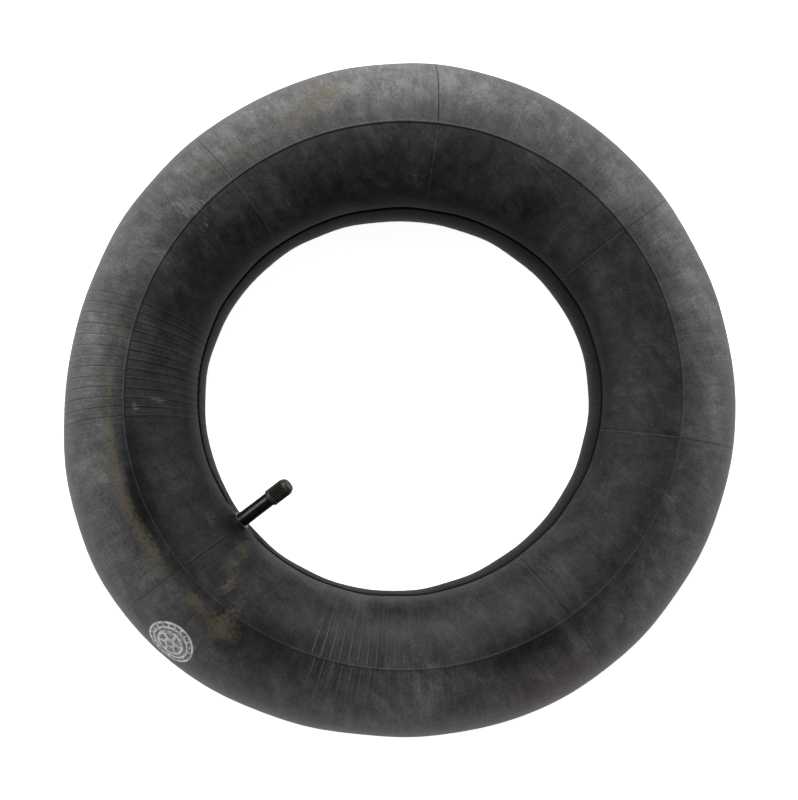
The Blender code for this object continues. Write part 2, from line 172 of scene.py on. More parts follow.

# Patches on the skin: (direction in degrees, turn in degrees, half length round the ring in mm,
# half width across it in mm, strength). A cloud below 0 is darker than the skin around it: bare
# rubber, and painted shade in those that lie on the crease, at turns 153 and 154.
DUST_CLOUDS = (
    (55, 38, 42, 20, 0.24), (15, 34, 55, 16, -0.12), (345, 50, 60, 18, 0.06),
    (100, 36, 50, 22, -0.12), (113, 105, 50, 40, -0.04), (345, 122, 75, 12, 0.09),
    (290, 117, 60, 14, 0.05), (340, 90, 80, 9, -0.05), (290, 88, 60, 9, -0.05),
    (163, 92, 60, 9, -0.05), (158, 112, 40, 10, 0.05), (205, 108, 40, 10, 0.05),
    (232, 56, 60, 20, 0.06), (163, 84, 34, 6, -0.30), (200, 74, 40, 22, -0.20),
    (236, 62, 26, 34, 0.16), (258, 80, 36, 9, -0.20), (234, 105, 22, 30, -0.01),
    (234, 140, 30, 12, -0.10), (9, 136, 3, 20, 0.12), (7, 96, 9, 14, 0.05),
    (19, 98, 8, 7, 0.05), (26, 113, 8, 9, 0.06), (31, 124, 9, 7, 0.07),
    (38, 128, 12, 6, 0.05), (83, 120, 4, 16, 0.08), (48, 110, 6, 20, 0.03),
    (20, 112, 14, 16, -0.05), (82, 97, 30, 8, 0.04), (30, 153, 60, 7, -0.22),
    (80, 153, 50, 9, -0.25), (118, 154, 45, 10, -0.30), (152, 154, 45, 10, -0.30),
    (335, 153, 70, 8, -0.20),
)
OCHRE_STAINS = (
    (66.5, 47, 8, 11, 1.0), (70, 57, 8, 6, 0.8), (74.5, 63, 11, 4, 0.7),
    (86, 66, 6, 4, 0.9), (92.5, 63, 7, 5, 0.7), (120, 69, 5, 4, 0.6),
    (129, 74, 5, 4, 0.6), (138, 71, 22, 2.0, 0.8), (151, 71, 24, 2.4, 0.9),
    (163, 74, 26, 3.5, 1.0), (174, 77, 14, 3.5, 1.0), (186.5, 79, 12, 4, 0.9),
    (194.5, 76, 12, 6, 0.9), (194, 92, 5, 12, 0.55), (189.5, 105, 2.8, 6, 1.0),
    (187, 120, 2.5, 5, 0.9), (185.5, 135, 5, 4, 1.0), (174, 129, 5, 4, 0.7),
    (49, 125, 8, 6, 0.45),
)
RED_STAINS = ((263, 44, 26, 13, 0.8), (256, 38, 12, 8, 0.5))
PALE_SCUFFS = (
    (98, 79, 9, 6, 0.55), (100, 72, 6, 10, 0.7), (102, 63, 4, 10, 0.6),
    (92, 38, 9, 5, 0.7), (63.5, 28, 11, 6, 0.8), (66, 37, 3, 7, 0.6),
    (100.5, 94, 8, 3, 0.6), (82.5, 121, 3, 12, 0.5), (142.5, 111, 1.6, 6, 1.0),
    (144, 93, 2.4, 3, 0.9), (147, 95, 3, 3, 0.6), (137, 41, 6, 2, 0.6),
    (175, 70, 3, 6, 0.7), (177, 60, 4, 7, 0.8), (178, 48, 3, 7, 0.8),
    (260, 132, 4, 4, 0.5),
)

# Generic mark pressed on the shoulder
MARK_DIRECTION = math.radians(189.7)
MARK_TURN = math.radians(36.5)
MARK_RADIUS = 13.6 * MM
MARK_RELIEF = 0.22 * MM
MARK_TICKS = 20
MARK_SPOKES = 6

# Skin round the valve: its relief and its lines start again past the base, and a soft painted shade
# lies round the root
VALVE_TURN = math.radians(155)
RELIEF_STARTS = (12 * MM, 16 * MM)
TONE_STARTS = (12 * MM, 18 * MM)
ROOT_SHADE_REACH = 17 * MM
OTHER_SIDE = 60 * MM

# Valve, along the stem from the skin
STEM_TIP = 34.9 * MM
JACKET_TOP = 23.8 * MM
JACKET_RADIUS = 4.1 * MM
BASE_RADIUS = 12.0 * MM
BASE_SINK = 0.38 * MM
PITCH = 25.4 * MM / 32
THREAD_CREST = 3.85 * MM
THREAD_ROOT = 3.42 * MM
CAP_THREAD_CREST = 3.60 * MM
CAP_BORE = 4.02 * MM
CREST_WIDTH = 0.14 * MM
FLANK = math.tan(math.radians(30))
STEM_THREAD_START = 26.3 * MM
STEM_THREAD_TURNS = 10
CAP_THREAD_TURNS = 9
CAP_MOUTH = 24.2 * MM
CAP_END = 37.7 * MM
CAP_RADIUS = 4.85 * MM
CAP_COLLAR_RADIUS = 4.95 * MM
CAP_CEILING = 36.3 * MM
CAP_RIBS = 24
RIB_DEPTH = 0.42 * MM
SPRING_BOTTOM = 17.55 * MM
SPRING_TOP = 24.70 * MM
SPRING_RADIUS = 0.88 * MM
SPRING_WIRE = 0.1 * MM
SPRING_TURNS = 6

# Camera: the ring's own directions that point at the picture's right edge and top edge, the
# camera's lean towards its left and bottom edges, and the point that it looks at
PICTURE_RIGHT = math.radians(-36.8)
PICTURE_TOP = PICTURE_RIGHT + math.pi / 2
CAMERA_DISTANCE = 1.5
CAMERA_TO_LEFT = math.radians(3.5)
CAMERA_TO_BOTTOM = math.radians(4.5)
CAMERA_LENS = 118.9
AIM_RIGHT = 1.0 * MM
AIM_UP = 3.3 * MM

# Lamps: (name, degrees round the ring from the picture's right edge, degrees above the floor,
# distance, size, watts)
LAMPS = (
    ("key", 90, 40, 1.7, 0.8, 20),
    ("right_fill", 0, 25, 1.9, 1.0, 5),
    ("left_fill", 180, 25, 1.9, 1.0, 8),
    ("overhead", 127.5, 72, 1.6, 0.8, 2.4),
)
WORLD_LIGHT = 0.05
FLOOR_GLOW = 0.93
FLOOR_SIZE = 6.0
FLOOR_DROP = 0.2 * MM

# Colours, in linear light
DARK_RUBBER = (0.0055, 0.0058, 0.0065)
GREY_RUBBER = (0.022, 0.0225, 0.0235)
BARE_AND_SHADED_RUBBER = (0.0028, 0.0028, 0.0030)
BLOOM = (0.235, 0.232, 0.226)
BAND = (0.005, 0.005, 0.0045)
BAND_STROKES = (0.019, 0.0175, 0.0145)
OCHRE = (0.155, 0.128, 0.078)
RED_DUST = (0.13, 0.060, 0.052)
SCUFFED = (0.30, 0.30, 0.29)
MARK_HAZE = (0.40, 0.40, 0.39)
SPECKS = (0.14, 0.135, 0.12)
ROOT_SHADE = (0.0055, 0.0068, 0.0095)
# colours of the line tones, which also carry the painted highlights and painted shade of the ridge,
# the lines, the crease and the band
PALE_LINE_AND_HIGHLIGHT = (0.20, 0.20, 0.195)
DARK_LINE_AND_SHADE = (0.004, 0.004, 0.004)
TALC = ((0.36, 0.36, 0.35), (0.88, 0.88, 0.87))
STEM_RUBBER = ((0.0022, 0.0023, 0.0026), (0.006, 0.006, 0.0065))
CAP_PLASTIC = ((0.034, 0.0305, 0.025), (0.072, 0.066, 0.054))
CAP_GROOVE_SHADE = (0.001, 0.0009, 0.0008)
PAPER = ((0.90, 0.90, 0.90), (0.93, 0.93, 0.93))


# ---- shape of the skin


def lobed(radius, lobes, direction):
    waves = [
        height * MM * np.cos(count * (direction - PATTERN_TURN - math.radians(crest)))
        for count, height, crest in lobes
    ]
    return radius + sum(waves)


def section_at(direction):
    """The section's middle radius and half width at a direction round the ring."""
    outer = lobed(OUTER_RADIUS, OUTER_LOBES, direction)
    inner = lobed(INNER_RADIUS, INNER_LOBES, direction)
    return (outer + inner) / 2, (outer - inner) / 2


def turn_at(radius, lobes, direction):
    """The turn at which the upper side of the section reaches a lobed circle."""
    middle, half_width = section_at(direction)
    return np.arccos((lobed(radius, lobes, direction) - middle) / half_width)


def ridge_turn(direction):
    return turn_at(RIDGE_RING, RIDGE_LOBES, direction)


def crease_turn(direction):
    return turn_at(CREASE_RING, CREASE_LOBES, direction)


def inward_of_ridge(direction, turn):
    """Distance along the section from the ridge towards the ring's middle, in metres."""
    return (np.abs(turn) - ridge_turn(direction)) * SECTION_RADIUS


def past_crease(direction, turn):
    return (np.abs(turn) - crease_turn(direction)) * SECTION_RADIUS


def reach_at(direction, turn):
    """Distance of the plain section from the ring's axis."""
    middle, half_width = section_at(direction)
    return middle + half_width * np.cos(turn)


def bump(distance, half_width):
    """A smooth hump, 1 at distance 0."""
    return np.exp(-((distance / half_width) ** 2))


def step_up(value, low, high):
    """0 below low, 1 above high and smooth between them."""
    share = np.clip((value - low) / (high - low), 0, 1)
    return share * share * (3 - 2 * share)


def angle_between(a, b):
    """The angle from b to a, between minus half a turn and half a turn."""
    return (a - b + math.pi) % (2 * math.pi) - math.pi


def rib_directions(centre):
    first = centre - RIB_SPACING * (RIB_COUNT - 1) / 2
    return [first + RIB_SPACING * i for i in range(RIB_COUNT)]


def group_share(direction, centre):
    """1 inside a group of ribs and 0 away from it."""
    half = RIB_SPACING * RIB_COUNT / 2
    away = np.abs(angle_between(direction, centre))
    return 1 - step_up(away, half, half + math.radians(2))


def mould_lines():
    """Every mould line as (direction, outside the ridge or not, its heights and tones, distance
    from the ridge at which it fades)."""
    lines = []
    for i in range(LINE_COUNT):
        direction = PATTERN_TURN + i * LINE_SPACING
        if group_share(direction, LEFT_GROUP) or group_share(direction, LOWER_GROUP):
            continue
        outer = SPLICE_LINE if i == SPLICE_NUMBER else OUTER_LINE
        lines.append((direction, True, outer, LINE_FADE_LONG))
        lines.append((direction, False, INNER_LINE, LINE_FADE_LONG))
    for direction in rib_directions(LEFT_GROUP):
        lines.append((direction, True, OUTER_RIB, LINE_FADE_LONG))
        lines.append((direction, False, INNER_RIB, LINE_FADE_LONG))
    for i, direction in enumerate(rib_directions(LOWER_GROUP)):
        power = 1.3 - 0.07 * i
        outer = [power * value for value in OUTER_SHORT_RIB]
        inner = [power * value for value in INNER_SHORT_RIB]
        lines.append((direction + RIB_SPACING / 2, True, outer, LINE_FADE_SHORT))
        lines.append((direction, False, inner, LINE_FADE_SHORT))
    return lines


def line_swing(column, inward):
    """Angle by which the lines have swung round the ring: the ribs of the left group are bowed
    and the splice leans."""
    far = inward / SWING_REACH
    bow = np.where(far > 0, RIB_BOW_INSIDE, RIB_BOW_OUTSIDE)
    bowed = group_share(column, LEFT_GROUP) * bow * far**2
    near_splice = bump(angle_between(column, SPLICE), math.radians(3))
    leaned = near_splice * SPLICE_LEAN * np.maximum(-far, 0)
    return np.radians(bowed + leaned)


def line_marks(column, inward, reach):
    """Height in metres and tone of the mould lines. Dark tone is below 0 and pale is above; it is
    partly painted shade in the low parts and painted highlight on the raised parts.
    """
    height = np.zeros(reach.shape)
    tone = np.zeros(reach.shape)
    for direction, outside, (line_height, edge_height, line_tone_and_painted_light, edge_tone), fade in LINES:
        across = angle_between(column, direction) * reach
        side = (inward < -RIDGE_ROOT) if outside else (inward > RIDGE_ROOT)
        share = side * bump(inward, fade)
        line = share * bump(across, LINE_HALF_WIDTH)
        edge = share * bump(across - LINE_EDGE, LINE_HALF_WIDTH)
        height += LINE_HEIGHT * (line_height * line + edge_height * edge)
        tone += line_tone_and_painted_light * line + edge_tone * edge
    return height, tone


def soft_waves(direction, turn):
    """Height of the skin's unevenness, in metres."""
    slow = SLOW_WAVE * np.sin(7 * direction + 1.0) * np.sin(turn * 2 + 0.4)
    middle = MIDDLE_WAVES[0] * np.sin(17 * direction + 3 * turn)
    middle += MIDDLE_WAVES[1] * np.sin(23 * direction - 2 * turn + 2)
    quick = QUICK_WAVE * np.sin(61 * direction + 5 * turn) * np.sin(43 * direction - 9 * turn)
    return slow + middle + quick


def from_valve(direction, turn):
    """Distance on the skin from the middle of the valve's root."""
    along = angle_between(direction, math.pi) * reach_at(math.pi, VALVE_TURN)
    across = (turn - VALVE_TURN) * SECTION_RADIUS
    return np.hypot(along, np.where(turn > 0, across, OTHER_SIDE))


def skin_relief(column, direction, turn):
    """How far the skin stands out from the plain section, in metres."""
    inward = inward_of_ridge(direction, turn)
    past = past_crease(direction, turn)
    relief = RIDGE_HEIGHT * bump(inward, RIDGE_HALF_WIDTH)
    shoulder = math.tan(SHOULDER_SLOPE) * SHOULDER_REACH
    relief = relief + shoulder * (np.exp(-np.abs(inward) / SHOULDER_REACH) - 0.5)
    lines = line_marks(column, inward, reach_at(direction, turn))[0]
    details = lines * (past < 0) + soft_waves(direction, turn)
    details -= CREASE_DEPTH * bump(past, CREASE_HALF_WIDTH)
    details += BAND_RELIEF * step_up(past, 0, BAND_STEP)
    # the skin is plain where the valve's base lies on it
    return relief + details * step_up(from_valve(direction, turn), *RELIEF_STARTS)


def skin_points(column, direction, turn, lift=0.0):
    """Points of the skin, lifted off it by lift, as an array of x, y and z. A column is the
    direction in which a mould line through the point crosses the ridge."""
    middle, half_width = section_at(direction)
    relief = skin_relief(column, direction, turn) + lift
    slope_out = np.cos(turn) / half_width
    slope_up = np.sin(turn) / HALF_HEIGHT
    steepness = np.hypot(slope_out, slope_up)
    reach = middle + half_width * np.cos(turn) + relief * slope_out / steepness
    height = HALF_HEIGHT * np.sin(turn) + relief * slope_up / steepness
    height = height + MID_HEIGHT
    # the lowest part is pressed flat on the floor
    lowered = height - FLOOR_PRESS * step_up(-np.sin(turn), 0.5, 1.0)
    softness = 0.2 * MM
    pressed = (lowered + np.sqrt(lowered**2 + softness**2)) / 2
    height = np.where(turn < 0, pressed, height)
    return np.stack([reach * np.cos(direction), reach * np.sin(direction), height], axis=-1)


# ---- meshes


def grid_faces(rows, columns, close_rows):
    """Quads of a grid whose columns wrap round, and whose rows do too if close_rows is set."""
    faces = []
    for i in range(rows if close_rows else rows - 1):
        below = i * columns
        above = (i + 1) % rows * columns
        for j in range(columns):
            k = (j + 1) % columns
            faces.append((below + j, below + k, above + k, above + j))
    return faces


def end_faces(rows, columns):
    """The two faces that close the ends of a grid whose rows don't wrap round."""
    last = (rows - 1) * columns
    return [tuple(range(columns - 1, -1, -1)), tuple(range(last, last + columns))]


def add_item(name, data):
    item = bpy.data.objects.new(name, data)
    bpy.context.scene.collection.objects.link(item)
    return item


def add_piece(name, points, faces, material, body):
    mesh = bpy.data.meshes.new(name)
    mesh.from_pydata([tuple(point) for point in points], [], faces)
    mesh.materials.append(material)
    mesh.shade_smooth()
    piece = add_item(name, mesh)
    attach(piece, body)
    return piece


def store(piece, name, values):
    """Keeps one number for each point of the mesh, for its material to read."""
    attribute = piece.data.attributes.new(name, "FLOAT", "POINT")
    attribute.data.foreach_set("value", np.ascontiguousarray(values, np.float32).ravel())


def thinned(values, least):
    """Sorted values without those that lie closer than least to the one before."""
    kept = []
    for value in sorted(values):
        if not kept or value - kept[-1] > least:
            kept.append(value)
    return np.array(kept)


def column_directions():
    """Even columns, with close ones across every mould line and rib."""
    lines = sorted({line[0] for line in LINES})
    close = [line + offset * MM / RIDGE_RING for line in lines for offset in LINE_COLUMNS]
    close = [value % (2 * math.pi) for value in close]
    even = np.arange(0, 2 * math.pi - COLUMN_STEP / 2, COLUMN_STEP)
    gap = COLUMN_STEP * 0.45
    free = [value for value in even if min(abs(value - other) for other in close) > gap]
    return thinned(close + free, math.radians(0.05))


def even_rows(start, end):
    count = 1 + round(float(np.mean(end - start)) / ROW_STEP)
    return [start + (end - start) * share for share in np.linspace(0, 1, count)]


def row_turns(direction):
    """Turns of the rows at each direction, close together across the ridge and the crease."""
    outermost = np.zeros_like(direction)
    ridge = ridge_turn(direction)
    crease = crease_turn(direction)
    close = [offset * MM / SECTION_RADIUS for offset in EDGE_ROWS]
    edge = 1.5 * close[-1]
    half = even_rows(outermost, ridge - edge)
    half += [ridge + offset for offset in close]
    half += even_rows(ridge + edge, crease - edge)
    half += [crease + offset for offset in close]
    half += even_rows(crease + edge, outermost + math.pi)
    upper = np.array(half)
    return np.concatenate([upper, -upper[-2:0:-1]])


def patches(direction, turn, spots):
    """The sum of soft spots on the skin."""
    total = np.zeros(direction.shape)
    for spot_direction, spot_turn, length, width, strength in spots:
        middle = PATTERN_TURN + math.radians(spot_direction)
        along = angle_between(direction, middle) * reach_at(direction, turn)
        across = (turn - math.radians(spot_turn)) * SECTION_RADIUS
        total += strength * bump(along, length * MM) * bump(across, width * MM)
    return total


def dust_and_shading_share(direction, turn):
    """Pale bloom: thick outside the ridge, where it grows outwards, and thin inside it, with
    painted light in its swing round the ring and painted shade in the clouds below 0 on the crease.
    """
    inward = inward_of_ridge(direction, turn)
    outside = 1 - step_up(inward, -0.5 * MM, 0.4 * MM)
    # painted light: the bloom is thicker outside and thinner inside towards the key lamp's side
    lit_side_swing = np.cos(direction - DUSTY_AND_LIT_SIDE)
    ramp = BLOOM_AT_RIDGE + BLOOM_GROWTH * step_up(-inward, -2 * MM, BLOOM_GROWN)
    ramp -= BLOOM_LOSS * step_up(-inward, *BLOOM_THINS)
    outer = (OUTER_BLOOM + OUTER_BLOOM_AND_LIGHT_SWING * lit_side_swing) * ramp
    inner = INNER_BLOOM - INNER_BLOOM_AND_SHADE_SWING * lit_side_swing
    inner += RIDGE_BLOOM * np.exp(-np.abs(inward) / RIDGE_BLOOM_REACH)
    return outside * outer + (1 - outside) * inner + patches(direction, turn, DUST_CLOUDS)


def line_tone_and_painted_light(column, direction, turn):
    """Tone of the ridge, the crease and the mould lines: dark below 0 and pale above it. It holds
    painted highlight along the ridge's top and painted shade along its root, in the crease and over
    the band.
    """
    inward = inward_of_ridge(direction, turn)
    past = past_crease(direction, turn)
    shaded = 0.5 + 0.5 * np.cos(direction - PICTURE_TOP)
    clear = step_up(from_valve(direction, turn), *TONE_STARTS)
    lines = line_marks(column, inward, reach_at(direction, turn))[1]
    # painted shade in the crease, strongest round one direction
    away = np.abs(angle_between(direction, CREASE_SHADE_SIDE))
    crease_shade = 1 - (1 - CREASE_SHADE_ELSEWHERE) * step_up(away, *CREASE_SHADE_SIDE_REACH)
    # painted highlight along the ridge's top and painted shade along its root, most of all on the
    # far side
    tone = (0.45 + 0.10 * shaded) * bump(inward + 0.2 * MM, RIDGE_HALF_WIDTH)
    tone -= (0.20 + 0.70 * shaded) * bump(inward - RIDGE_ROOT, 0.40 * MM)
    tone += lines * (past < 0) * clear
    # painted shade over the inner band, strongest on the far side
    tone -= 0.5 * shaded * step_up(past, 0, BAND_START)
    return tone - crease_shade * clear * bump(past, CREASE_SHADE_WIDTH)


def mark_share(direction, turn):
    along = angle_between(direction, MARK_DIRECTION) * reach_at(direction, turn)
    across = (turn - MARK_TURN) * SECTION_RADIUS
    return 1 - step_up(np.hypot(along, across), MARK_RADIUS * 0.92, MARK_RADIUS * 1.08)


def store_skin_look(piece, columns, directions, turns):
    """Stores what the butyl material needs at every point that is dressed as the skin."""
    place = (directions, turns)
    looks = {
        "dust_and_shading": dust_and_shading_share(*place),
        "ochre": patches(*place, OCHRE_STAINS),
        "red": patches(*place, RED_STAINS),
        "scuff": patches(*place, PALE_SCUFFS),
        "mark": mark_share(*place),
        "band": step_up(past_crease(*place), 0, BAND_START),
        "line": line_tone_and_painted_light(columns, *place),
        "root": bump(from_valve(*place), ROOT_SHADE_REACH),
        "ribbed": group_share(directions, LOWER_GROUP) + 0.6 * group_share(directions, LEFT_GROUP),
    }
    for name, values in looks.items():
        store(piece, name, values)


def make_skin(material):
    columns = column_directions()
    turns = row_turns(columns)
    columns = np.broadcast_to(columns, turns.shape)
    directions = columns + line_swing(columns, inward_of_ridge(columns, turns))
    points = skin_points(columns, directions, turns)
    rows, count = turns.shape
    faces = grid_faces(rows, count, True)
    skin = add_piece("bladder_skin", points.reshape(-1, 3), faces, material, "tube")
    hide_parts("tube_body")
    store_skin_look(skin, columns, directions, turns)
    return skin


# ---- turned pieces


def mm(points):
    """Points written in millimetres, as metres."""
    return [tuple(value * MM for value in point) for point in points]


def arc(centre, radius, start, end, steps):
    """Points on an arc, from start to end degrees, ends included."""
    angles = [math.radians(start + (end - start) * i / steps) for i in range(steps + 1)]
    return [(centre[0] + radius * math.cos(a), centre[1] + radius * math.sin(a)) for a in angles]


def softened(outline, cut, closed):
    """The outline with each corner rounded by a short curve that starts cut before it."""
    count = len(outline)
    result = []
    for i, corner in enumerate(outline):
        if not closed and i in (0, count - 1):
            result.append(corner)
            continue
        corner = Vector(corner)
        before = Vector(outline[i - 1])
        after = Vector(outline[(i + 1) % count])
        back = min(cut, (before - corner).length * 0.4)
        ahead = min(cut, (after - corner).length * 0.4)
        start = corner.lerp(before, back / (before - corner).length)
        end = corner.lerp(after, ahead / (after - corner).length)
        for share in (0, 0.33, 0.67, 1):
            result.append(tuple(start.lerp(corner, share).lerp(corner.lerp(end, share), share)))
    return result


def refined(outline, longest, closed):
    """The outline with points added, so that none lie further apart than longest."""
    result = []
    pairs = list(zip(outline, outline[1:] + outline[:1]))
    for start, end in pairs if closed else pairs[:-1]:
        parts = max(1, math.ceil(math.dist(start, end) / longest))
        for i in range(parts):
            result.append(tuple(a + (b - a) * i / parts for a, b in zip(start, end)))
    return result if closed else result + [outline[-1]]


def turned_mesh(outline, columns, reshape=None):
    """Points and faces of a turned solid. An outline that starts and ends on the axis has
    poles, and any other is a closed loop. reshape(radius, angle, height) returns a new radius."""
    closed = outline[0][0] > 0
    profile = np.array(outline if closed else outline[1:-1])
    angle = np.arange(columns) * 2 * math.pi / columns
    radius = np.repeat(profile[:, :1], columns, axis=1)
    height = np.repeat(profile[:, 1:], columns, axis=1)
    angle = np.broadcast_to(angle, radius.shape)
    if reshape:
        radius = reshape(radius, angle, height)
    points = np.stack([radius * np.cos(angle), radius * np.sin(angle), height], axis=-1)
    rows = len(profile)
    # the outline runs down the outside, so the faces are turned over to look outwards
    faces = [face[::-1] for face in grid_faces(rows, columns, closed)]
    points = points.reshape(-1, 3)
    if not closed:
        top, bottom = len(points), len(points) + 1
        points = np.vstack([points, (0, 0, outline[0][1]), (0, 0, outline[-1][1])])
        last = (rows - 1) * columns
        for j in range(columns):
            k = (j + 1) % columns
            faces.append((j, k, top))
            faces.append((last + k, last + j, bottom))
    return points, faces


def thread_share(angle, height, start, turns):
    """How much of the thread's depth stands at a point: 0 between the turns, 1 on a crest."""
    along = (height - start) / PITCH - angle / (2 * math.pi)
    from_crest = np.abs((along + 0.5) % 1 - 0.5) * PITCH
    crest_half = CREST_WIDTH / 2
    root_half = crest_half + (THREAD_CREST - THREAD_ROOT) * FLANK
    share = np.clip((root_half - from_crest) / (root_half - crest_half), 0, 1)
    turn_number = np.round(along) + angle / (2 * math.pi)
    fade = step_up(turn_number, 0, 0.4) * (1 - step_up(turn_number, turns - 0.4, turns))
    return share * fade


def to_valve(points):
    """Points of the stem's own frame, moved to where the stem stands."""
    return np.asarray(points) @ np.array(VALVE.to_3x3()).T + np.array(VALVE.translation)


def valve_frame():
    """The stem's frame, from the cap's joint: origin on the skin, Z along the stem, Y mostly up."""
    spin = next(joint for joint in frame["joints"] if joint["name"] == "cap_spin")
    along = Vector(spin["axis"]).normalized()
    side = Vector((0, 1, 0))
    placed = Matrix((side, along.cross(side), along)).transposed().to_4x4()
    placed.translation = Vector(spin["pos_m"]) - along * STEM_TIP
    return placed


def section_place(points):
    """The direction of points round the ring, and their places across and up the section, both
    as shares of its half sizes."""
    directions = np.arctan2(points[:, 1], points[:, 0])
    middle, half_width = section_at(directions)
    across = (np.hypot(points[:, 0], points[:, 1]) - middle) / half_width
    return directions, across, (points[:, 2] - MID_HEIGHT) / HALF_HEIGHT


def skin_height(x, y):
    """How far along the stem the plain skin lies beside the stem's axis, found by halving."""
    low = np.full(x.shape, -20 * MM)
    high = np.full(x.shape, 20 * MM)
    for _ in range(30):
        guess = (low + high) / 2
        across, up = section_place(to_valve(np.stack([x, y, guess], axis=-1)))[1:]
        outside = across**2 + up**2 > 1
        high = np.where(outside, guess, high)
        low = np.where(outside, low, guess)
    return low


def add_valve_piece(name, points, faces, material, body, slot, node):
    piece = add_piece(name, to_valve(points), faces, material, body)
    piece.data.set_sharp_from_angle(angle=math.radians(40))
    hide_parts(node)
    return piece


def add_turned(name, outline, columns, material, body, slot, node, reshape=None):
    points, faces = turned_mesh(outline, columns, reshape)
    return add_valve_piece(name, points, faces, material, body, slot, node)


def make_jacket(material):
    """The stem's rubber: a straight jacket, a low ring at its root and a thin base on the skin."""
    outline = arc((JACKET_RADIUS - 0.5 * MM, JACKET_TOP - 0.5 * MM), 0.5 * MM, 90, 0, 6)
    outline += arc((4.45 * MM, 2.75 * MM), 0.35 * MM, 180, 250, 4)
    outline += arc((4.75 * MM, 1.75 * MM), 0.62 * MM, 80, -20, 8)
    outline += mm([(5.55, 1.15), (6.1, 0.80), (7.2, 0.62), (9.0, 0.46), (10.8, 0.25)])
    outline += mm([(BASE_RADIUS / MM, -0.05), (11.9, -0.4), (4.6, -0.3), (4.6, 1.5), (3.3, 1.5)])
    outline += [(3.3 * MM, JACKET_TOP)]
    outline = refined(outline, 1.2 * MM, True)
    points, faces = turned_mesh(outline, 72)
    flat = np.hypot(points[:, 0], points[:, 1])
    # the base follows the skin, and the ring at the root stays round and level
    share = step_up(flat, 4.6 * MM, 8 * MM)
    share = np.where(points[:, 2] < 0, 1, share)
    points[:, 2] += share * (skin_height(points[:, 0], points[:, 1]) - BASE_SINK)
    placed = to_valve(points)
    jacket = add_piece("valve_jacket", placed, faces, material, "tube")
    jacket.data.set_sharp_from_angle(angle=math.radians(50))
    store(jacket, "base", step_up(flat, 4.6 * MM, 5.7 * MM))
    directions, across, up = section_place(placed)
    store_skin_look(jacket, directions, directions, np.arctan2(up, across))
    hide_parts("valve_rubber")
    return jacket


def make_stem(material):
    """The brass insert, with its outer thread and the bore that the core sits in."""
    outline = mm([(3.05, 34.9), (3.42, 34.55), (3.42, 24.4), (3.0, 24.4), (3.0, 1.2)])
    outline += mm([(4.3, 1.2), (4.3, 0.5), (1.2, 0.5), (1.2, 6.0), (1.75, 6.0), (1.75, 17.7)])
    outline += mm([(2.2, 21.2), (2.2, 27.7), (2.6, 28.1), (2.6, 34.3), (2.78, 34.9)])
    outline = refined(softened(outline, 0.1 * MM, True), 0.09 * MM, True)

    def threaded(radius, angle, height):
        outer = (radius > 3.35 * MM) & (radius < 3.6 * MM) & (height > 25.7 * MM)
        share = thread_share(angle, height, STEM_THREAD_START, STEM_THREAD_TURNS)
        return radius + np.where(outer, share * (THREAD_CREST - THREAD_ROOT), 0)

    return add_turned("valve_stem", outline, 64, material, "tube", "brass", "stem_insert", threaded)


def make_plug(material):
    """The core's screw plug, with its driver slot."""
    outline = mm([(2.0, 33.9), (2.0, 32.4), (2.3, 32.4), (2.48, 32.2), (2.48, 28.4), (2.25, 28.15)])
    outline += mm([(1.15, 28.15), (1.15, 27.2), (0.62, 27.2), (0.62, 32.1)])
    outline += mm([(1.25, 32.1), (1.25, 33.9)])
    outline = softened(outline, 0.12 * MM, True)

    def slotted(radius, angle, height):
        # the crown keeps two walls, so the outside is pinched where the driver grips
        flat = np.clip(0.95 * MM / np.maximum(np.abs(np.cos(angle)), 1e-6), 1.45 * MM, 2.0 * MM)
        crown = (height > 32.6 * MM) & (radius > 1.6 * MM)
        return np.where(crown, np.minimum(radius, flat), radius)

    return add_turned("core_screw", outline, 64, material, "tube", "nickel", "core_plug", slotted)


def make_pin(material):
    """The pin that opens the valve when it is pressed."""
    outline = [(0, 34.6 * MM)]
    outline += mm([(0.62, 34.6), (0.8, 34.42), (0.8, 34.1), (0.5, 33.95), (0.5, 25.5), (1.1, 25.5)])
    outline += mm([(1.1, 24.9), (0.5, 24.9), (0.5, 14.25), (0.75, 14.25), (0.75, 13.9)])
    outline += [(0, 13.9 * MM)]
    outline = softened(outline, 0.08 * MM, False)
    return add_turned("core_stem_pin", outline, 48, material, "valve_pin", "brass", "core_pin")


def make_spring(material):
    """The coil round the pin, drawn at one length, though the real coil shortens when the pin is
    pressed.
    """
    rows = 24 * SPRING_TURNS + 1
    columns = 10
    share = np.linspace(0, 1, rows)[:, None]
    angle = 2 * math.pi * SPRING_TURNS * share
    around = np.linspace(0, 2 * math.pi, columns, endpoint=False)
    radius = SPRING_RADIUS + SPRING_WIRE * np.cos(around)
    height = SPRING_BOTTOM + (SPRING_TOP - SPRING_BOTTOM) * share + SPRING_WIRE * np.sin(around)
    points = np.stack([radius * np.cos(angle), radius * np.sin(angle), height], axis=-1)
    points = points.reshape(-1, 3)
    faces = [face[::-1] for face in grid_faces(rows, columns, False) + end_faces(rows, columns)]
    placing = ("tube", "spring_steel", "core_spring")
    spring = add_valve_piece("core_coil", points, faces, material, *placing)
    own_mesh(spring)
    return spring


